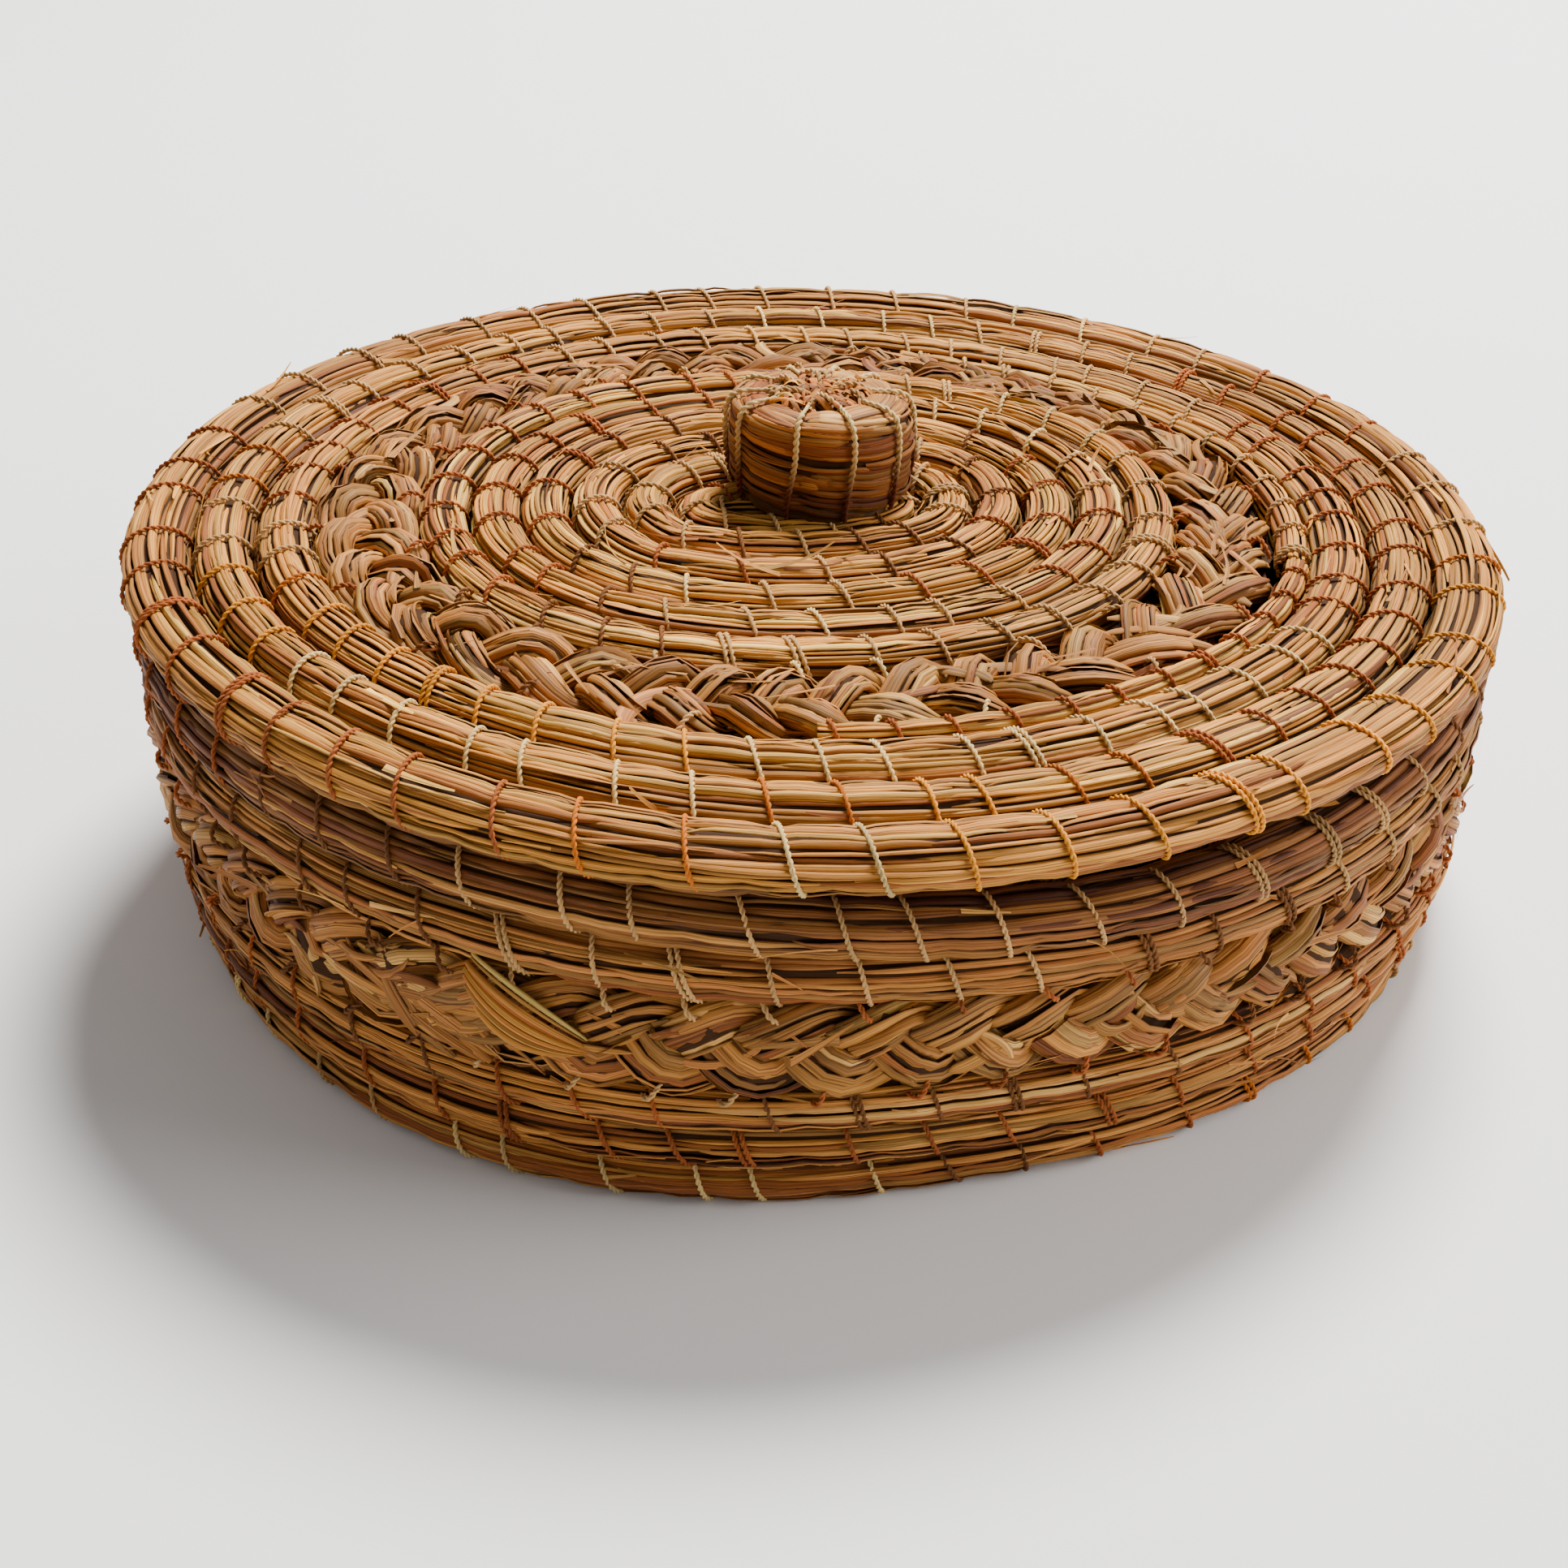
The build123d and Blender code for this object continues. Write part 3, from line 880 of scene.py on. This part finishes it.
def make_body_rows():
    for name, (width, rank, code) in BODY_ROWS.items():
        rng = rng_for(name)
        track = oval_track(name, OUTER, rng, width)
        inwards, down = DIPS.get(name, (0, 0))
        dip = np.exp(-(((degrees_round(track.e1) - DIP_TURN) / DIP_WIDTH) ** 2))[:, None]
        track.points -= dip * (inwards * track.e1 + down * track.e2)
        low, high = node_box(name)
        half_w, half_h = width / 2 - 0.3, (high[2] - low[2]) / 2 + 0.25
        at = stitch_places(track, BODY_SPACING, rng, phase=rank * STITCH_PHASE)
        soup = Soup()
        core_tube(soup, track, half_w, half_h)
        for rise in JOINT_RISES.get(name, (-JOINT_RISE,)):
            joint = Track(track.points[:-1] + rise * UP, track.e1[:-1], UP)
            core_tube(soup, joint, half_w - 1.0, half_h)
        coil_blades(soup, track, half_w, half_h, rng, BODY_TONES.get(name, (1, 1, 1)), around=24, stitches=at,
                    slant=BODY_SLANT, grooves=BODY_GROOVES.get(name, (ABOVE, BELOW)), length=(50, 130),
                    dark=0.05)
        row_stitches(soup, track, half_w, half_h, at, rng, code, span=(-0.62, 0.62), slant=BODY_SLANT,
                     doubled=0.12)
        wisps(soup, track, half_w, half_h, 40, rng, span=(-0.45, 0.45), rise=1.8)
        place(soup, name, "basket", "body_grass")


def make_base():
    width = 13.0
    for name in sorted(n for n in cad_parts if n.startswith("base_row")):
        rng = rng_for(name)
        track = oval_track(name, OUTER, rng, width, wobble=0.15)
        low, high = node_box(name)
        half_w, half_h = width / 2 - 0.3, (high[2] - low[2]) / 2 - 0.7
        track.points[:, 2] += 0.3                      # leaves room under the coil for its stitches
        at = stitch_places(track, 14.5, rng)
        soup = Soup()
        blades = {"around": 16, "length": (50, 120), "segments": 18, "loose": 0.15}
        sewn_coil(soup, track, half_w, half_h, at, rng, "ttrrttbbttccttrrttbb", OVER_AND_UNDER, 4, blades,
                  step=0.9, sides=4)
        place(soup, name, "basket", "base_grass")


BURST_TURN = -118.0              # degrees: where the wall's plait has burst open, at the front left
LEAF_TURN = -109.7               # a wide leaf has sprung out beside it
BODY_BRAID_HALF = 9.0            # half the height of the band where blades stand loose


def make_body_braid():
    name = "body_braid"
    rng = rng_for(name)
    low, high = node_box(name)
    base = oval_track(name, OUTER, rng, 9.5, wobble=0.3)
    track = Track(base.points[:-1] + base.e1[:-1] * 0.2, base.e2[:-1], base.e1[:-1])
    half = np.full(100, (high[2] - low[2]) / 2 + 0.6)
    soup = Soup()
    plait(soup, track, half, rng, pitch=46.0, thick=2.3, strand=0.45, around=10, rise=2.3, segments=12)
    wisps(soup, track, BODY_BRAID_HALF, 4.6, 120, rng)
    loose_blades(soup, track, rng.uniform(0, track.length, 70), BODY_BRAID_HALF, rng, base=2.4, rise=1.2)
    turn = degrees_round(track.e2[:-1])
    burst, leaf = (track.s[int(np.argmin(np.abs(turn - place)))] for place in (BURST_TURN, LEAF_TURN))
    loose_blades(soup, track, burst + rng.normal(0, 9, 46), BODY_BRAID_HALF, rng, size=(12, 28),
                 width=(1.8, 4.2), angle=0.42, rise=2.0, base=2.6)
    sprung_leaf(soup, track, leaf, rng_for("sprung_leaf"))
    edge_stitches(soup, track, half, stitch_places(track, BODY_SPACING, rng), rng, "rrrrttttttrrrrbbttrrbbrr",
                  reach=0.45, steps=18)
    place(soup, name, "basket", "plaited_grass")


# ---------------------------------------------------------------- knob

KNOB_SUNK = 2.0                  # how far the grass of the knob has settled
KNOB_TIP = 0.09                  # its top is sewn higher at the front than at the back
KNOB_SIDE = 33.0                 # way up its side, from under the base to the top
KNOB_BLADES, KNOB_RIBS = 210, 10
RIB_GROOVE, RIB_GROOVE_WIDTH = 0.55, 0.10              # the blades sink under each rib; width in radians


def knob_outline(radius, height):
    """Radius and height of the knob's side, from under the base to the top."""
    v = np.array([0.0, 0.10, 0.25, 0.42, 0.60, 0.74, 0.85, 0.94, 1.0])
    r = np.array([0.91, 0.955, 0.985, 1.0, 0.998, 0.985, 0.945, 0.83, 0.50]) * radius
    z = np.array([-0.12, 0.04, 0.20, 0.42, 0.63, 0.81, 0.94, 1.01, 1.02]) * height
    return v, r, z


def round_knob(centre, r, turn, z):
    """Points round the knob's upright axis."""
    return np.stack([centre[0] + r * np.cos(turn), centre[1] + r * np.sin(turn), z + 0 * turn], -1)


def knob_point(centre, outline, theta, v, lift):
    vs, rs, zs = outline
    r, z = np.interp(v, vs, rs), np.interp(v, vs, zs)
    d = 0.03
    dr = np.interp(v + d, vs, rs) - np.interp(v - d, vs, rs)
    dz = np.interp(v + d, vs, zs) - np.interp(v - d, vs, zs)
    size = np.hypot(dr, dz) + 1e-9
    r, z = r + lift * dz / size, z - lift * dr / size
    z = z - KNOB_TIP * r * np.sin(theta) * np.clip(z / zs[-1], 0, 1)
    return round_knob(centre, r, theta, centre[2] + z)


def make_knob():
    rng = rng_for("knob")
    low, high = node_box("knob")
    centre = np.array([(low[0] + high[0]) / 2, (low[1] + high[1]) / 2, low[2]])
    outline = knob_outline((high[0] - low[0]) / 2 - 0.9, high[2] - low[2] - KNOB_SUNK)
    soup = Soup()
    theta, v = np.meshgrid(np.linspace(0, TAU, 40, endpoint=False), np.linspace(0, 1, 24))
    # Layer under the knob's blades, dark with painted shade where it shows between them.
    inner = knob_point(centre, outline, theta, v, -1.0)
    soup.add(inner, linear(60, 32, 16), (theta * 20, v * 8, 0.0), CORE, wrap=True)
    rib_at = np.sort((np.arange(KNOB_RIBS) + rng.normal(0, 0.10, KNOB_RIBS)) * TAU / KNOB_RIBS)
    knob_blades(soup, centre, outline, rib_at, rng)
    knob_ribs(soup, centre, outline, rib_at, rng)
    place(soup, "knob", "lid", "knob_grass")
    make_crown(centre, rib_at)


def knob_blades(soup, centre, outline, rib_at, rng):
    """Blades wound round the knob, each rising or falling a little, and pulled in by the ribs."""
    count, segments = KNOB_BLADES, 22
    lane = (np.arange(count)[:, None] + 0.5) / count
    t = np.linspace(0, 1, segments + 1)
    start = rng.uniform(0, TAU, (count, 1))
    sweep = rng.uniform(0.9, 2.4, (count, 1))
    theta = start + t * sweep
    slope = rng.normal(-0.10, 0.05, (count, 1))
    v = np.clip(lane * 1.04 + slope * (t - 0.5) * sweep / 1.4, 0.0, 0.97)
    width = rng.uniform(1.2, 2.5, (count, 1)) * (0.5 + 0.5 * both_ends(t, 8))
    gap = np.abs(np.mod(theta[..., None] - rib_at + math.pi, TAU) - math.pi).min(-1)
    lift = rng.normal(0, 0.28, (count, 1)) - RIB_GROOVE * np.exp(-(gap / RIB_GROOVE_WIDTH) ** 2)
    lift = lift - 0.8 * (1 - both_ends(t, 9))
    v = v[..., None] + COLUMNS * width[..., None] / 2 / KNOB_SIDE
    theta = np.broadcast_to(theta[..., None], v.shape)
    points = knob_point(centre, outline, theta, v, lift[..., None] + CROWN * 0.9)
    tint = pick_tints(rng, count, (0.90, 0.88, 0.85), 0.04)[:, None, None, :]
    # Painted shade: the blades darken and redden towards the foot of the knob.
    tint = tint * (0.38 + 0.62 * v)[..., None] ** np.array([1.0, 1.1, 1.25])
    grain = theta * 20, COLUMNS, rng.uniform(0, 90, (count, 1, 1))
    soup.add(points, tint, grain, GRASS)


def knob_ribs(soup, centre, outline, rib_at, rng):
    """Upright threads over the knob's side, cream at the top and dark below."""
    u = np.linspace(0, 1, 70)
    rib_at = rib_at[:, None]
    theta = rib_at - rng.normal(0.10, 0.08, rib_at.shape) * u + 0.02 * np.sin(u * 7 + rib_at)
    v = 1.0 - 0.98 * u + 0 * theta
    path = knob_point(centre, outline, theta, v, 0.55)
    normal = path - knob_point(centre, outline, theta, v, -0.5)
    blend = smooth((u - 0.25) / 0.55)[None, :, None]
    tint = THREADS["c"] * (1 - blend) * 0.9 + linear(92, 44, 22) * blend
    thread(soup, path, normal, tint, radius=0.38, twist=3.4, sides=7)


def make_crown(centre, rib_at):
    """Rough top of the knob: cut blade ends and loops of thread pulled into the middle."""
    rng = rng_for("knob_crown")
    low, high = node_box("knob_crown")
    top, reach = low[2] - KNOB_SUNK, (high[0] - low[0]) / 2
    soup = Soup()
    theta, v = np.meshgrid(np.linspace(0, TAU, 32, endpoint=False), np.linspace(0, 1, 10))
    r, z = reach * (1 - v) + 0.6, top - 0.6 + 1.2 * np.sin(v * math.pi / 2)
    cap = round_knob(centre, r, theta, z - KNOB_TIP * r * np.sin(theta))
    # The cap under the crown's blades is dark with painted shade.
    soup.add(cap, linear(84, 52, 28), (theta * 9, v * 9, 0.0), CORE, wrap=True)
    crown_blades(soup, centre, top, reach, rng)
    crown_loops(soup, centre, top, reach, rib_at, rng)
    place(soup, "knob_crown", "lid", "knob_grass")


def crown_blades(soup, centre, top, reach, rng):
    count, steps = 150, 9
    t = np.linspace(0, 1, steps)
    turn = rng.uniform(0, TAU, (count, 1)) + rng.normal(0, 0.5, (count, 1)) * t
    r = rng.uniform(2.0, reach + 4.6, (count, 1)) - rng.uniform(2.5, 6.5, (count, 1)) * t
    z = top + 0.2 + rng.uniform(0.5, 2.4, (count, 1)) * np.sin(t * math.pi)
    z = z - 0.08 * np.maximum(r - 9, 0) ** 1.5         # the outer ones hang over the edge
    middle = round_knob(centre, r, turn, z - KNOB_TIP * r * np.sin(turn))
    across = np.stack([-np.sin(turn), np.cos(turn), 0.3 * np.sin(turn * 3)], -1)
    width = rng.uniform(0.8, 1.9, (count, 1, 1)) * np.array([-0.5, 0.0, 0.5])
    hump = np.array([-0.25, 0.15, -0.25])[:, None] * UP
    points = middle[:, :, None, :] + across[:, :, None, :] * width[..., None] + hump
    tint = pick_tints(rng, count, (1.10, 0.88, 0.56))[:, None, None, :]
    tint = tint * rng.uniform(0.45, 1.4, (count, 1, 1, 1))
    grain = t[:, None] * 8, np.array([-0.7, 0, 0.7]), rng.uniform(0, 90, (count, 1, 1))
    soup.add(points, tint, grain, GRASS)


def crown_loops(soup, centre, top, reach, rib_at, rng):
    """Ends of the rib threads and a few more, drawn into the middle of the crown."""
    count = 15
    u = np.linspace(0, 1, 26)
    start = np.concatenate([rib_at, rng.uniform(0, TAU, count - len(rib_at))])[:, None]
    turn = start + rng.normal(0, 0.35, (count, 1)) * u
    r = (reach + 1.5) - rng.uniform(4, 9, (count, 1)) * u
    z = top + 0.3 + rng.uniform(1.2, 2.6, (count, 1)) * np.sin(u * math.pi) ** 0.7
    path = round_knob(centre, r, turn, z - KNOB_TIP * r * np.sin(turn))
    tint = THREADS["t"] * rng.uniform(0.7, 1.35, (count, 1, 1))
    thread(soup, path, UP, tint, radius=0.34, twist=3.2)


make_body_rows()
make_base()
make_spiral_start("base_start", OUTER, "basket", "base_grass", 13.0)
make_body_braid()
make_lid_rows()
make_spiral_start("lid_centre", INNER, "lid", "lid_grass", 11.0)
make_row_start()
make_seat_coil()
make_lid_braid()
make_knob()

# ---------------------------------------------------------------- floor, light and camera

lid_low, lid_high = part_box("lid_rim_coil")
lid_top = Vector(((lid_low.x + lid_high.x) / 2, (lid_low.y + lid_high.y) / 2, lid_high.z))

FLOOR_HALF = 6.0                 # metres
floor_mesh = bpy.data.meshes.new("floor")
corners = [(x * FLOOR_HALF, y * FLOOR_HALF, FLOOR / MM) for x, y in ((-1, -1), (1, -1), (1, 1), (-1, 1))]
floor_mesh.from_pydata(corners, [], [(0, 1, 2, 3)])
floor = bpy.data.objects.new("floor", floor_mesh)
bpy.context.scene.collection.objects.link(floor)
floor_material, floor_tree = new_material("floor")
finish_material(floor_tree, (0.92, 0.92, 0.92, 1), 0.9, (0, 0, 0), 0.1)
floor_mesh.materials.append(floor_material)


def area_light(name, offset, size, energy, colour):
    """Round light at an offset from the middle of the lid's top, turned towards it; metres and watts."""
    data = bpy.data.lights.new(name, "AREA")
    data.shape, data.size, data.energy, data.color = "DISK", size, energy, colour
    obj = bpy.data.objects.new(name, data)
    bpy.context.scene.collection.objects.link(obj)
    obj.location = lid_top + Vector(offset)
    obj.rotation_euler = (lid_top - obj.location).to_track_quat("-Z", "Y").to_euler()


area_light("key", (0.40, 1.00, 1.65), 0.75, 122, (1.0, 0.98, 0.94))
area_light("right_fill", (1.5, -0.15, 0.65), 1.1, 21, (1.0, 0.98, 0.96))

WORLD_STRENGTH = 0.34
world = bpy.data.worlds.new("studio")
world.use_nodes = True
background = world.node_tree.nodes["Background"]
background.inputs["Color"].default_value = (1.0, 1.0, 1.0, 1)
background.inputs["Strength"].default_value = WORLD_STRENGTH
bpy.context.scene.world = world

CAMERA_OFFSET = Vector((-7.1, -446.2, 228.4)) / MM   # from the middle of the lid's top
CAMERA_PITCH = math.radians(32.57)
CAMERA_HEADING = math.radians(0.82)                  # turned a little to the left
CAMERA_ROLL = math.radians(0.9)
CAMERA_LENS = 51.74
CAMERA_SHIFT = (0.0202, -0.0406)                     # shares of the frame's width
forward = Vector((-math.sin(CAMERA_HEADING) * math.cos(CAMERA_PITCH),
                  math.cos(CAMERA_HEADING) * math.cos(CAMERA_PITCH), -math.sin(CAMERA_PITCH)))
camera_data = bpy.data.cameras.new("camera")
camera_data.lens = CAMERA_LENS
camera_data.shift_x, camera_data.shift_y = CAMERA_SHIFT
camera = bpy.data.objects.new("camera", camera_data)
bpy.context.scene.collection.objects.link(camera)
camera.location = lid_top + CAMERA_OFFSET
camera.rotation_euler = (Quaternion(forward, CAMERA_ROLL) @ forward.to_track_quat("-Z", "Y")).to_euler()
bpy.context.scene.camera = camera
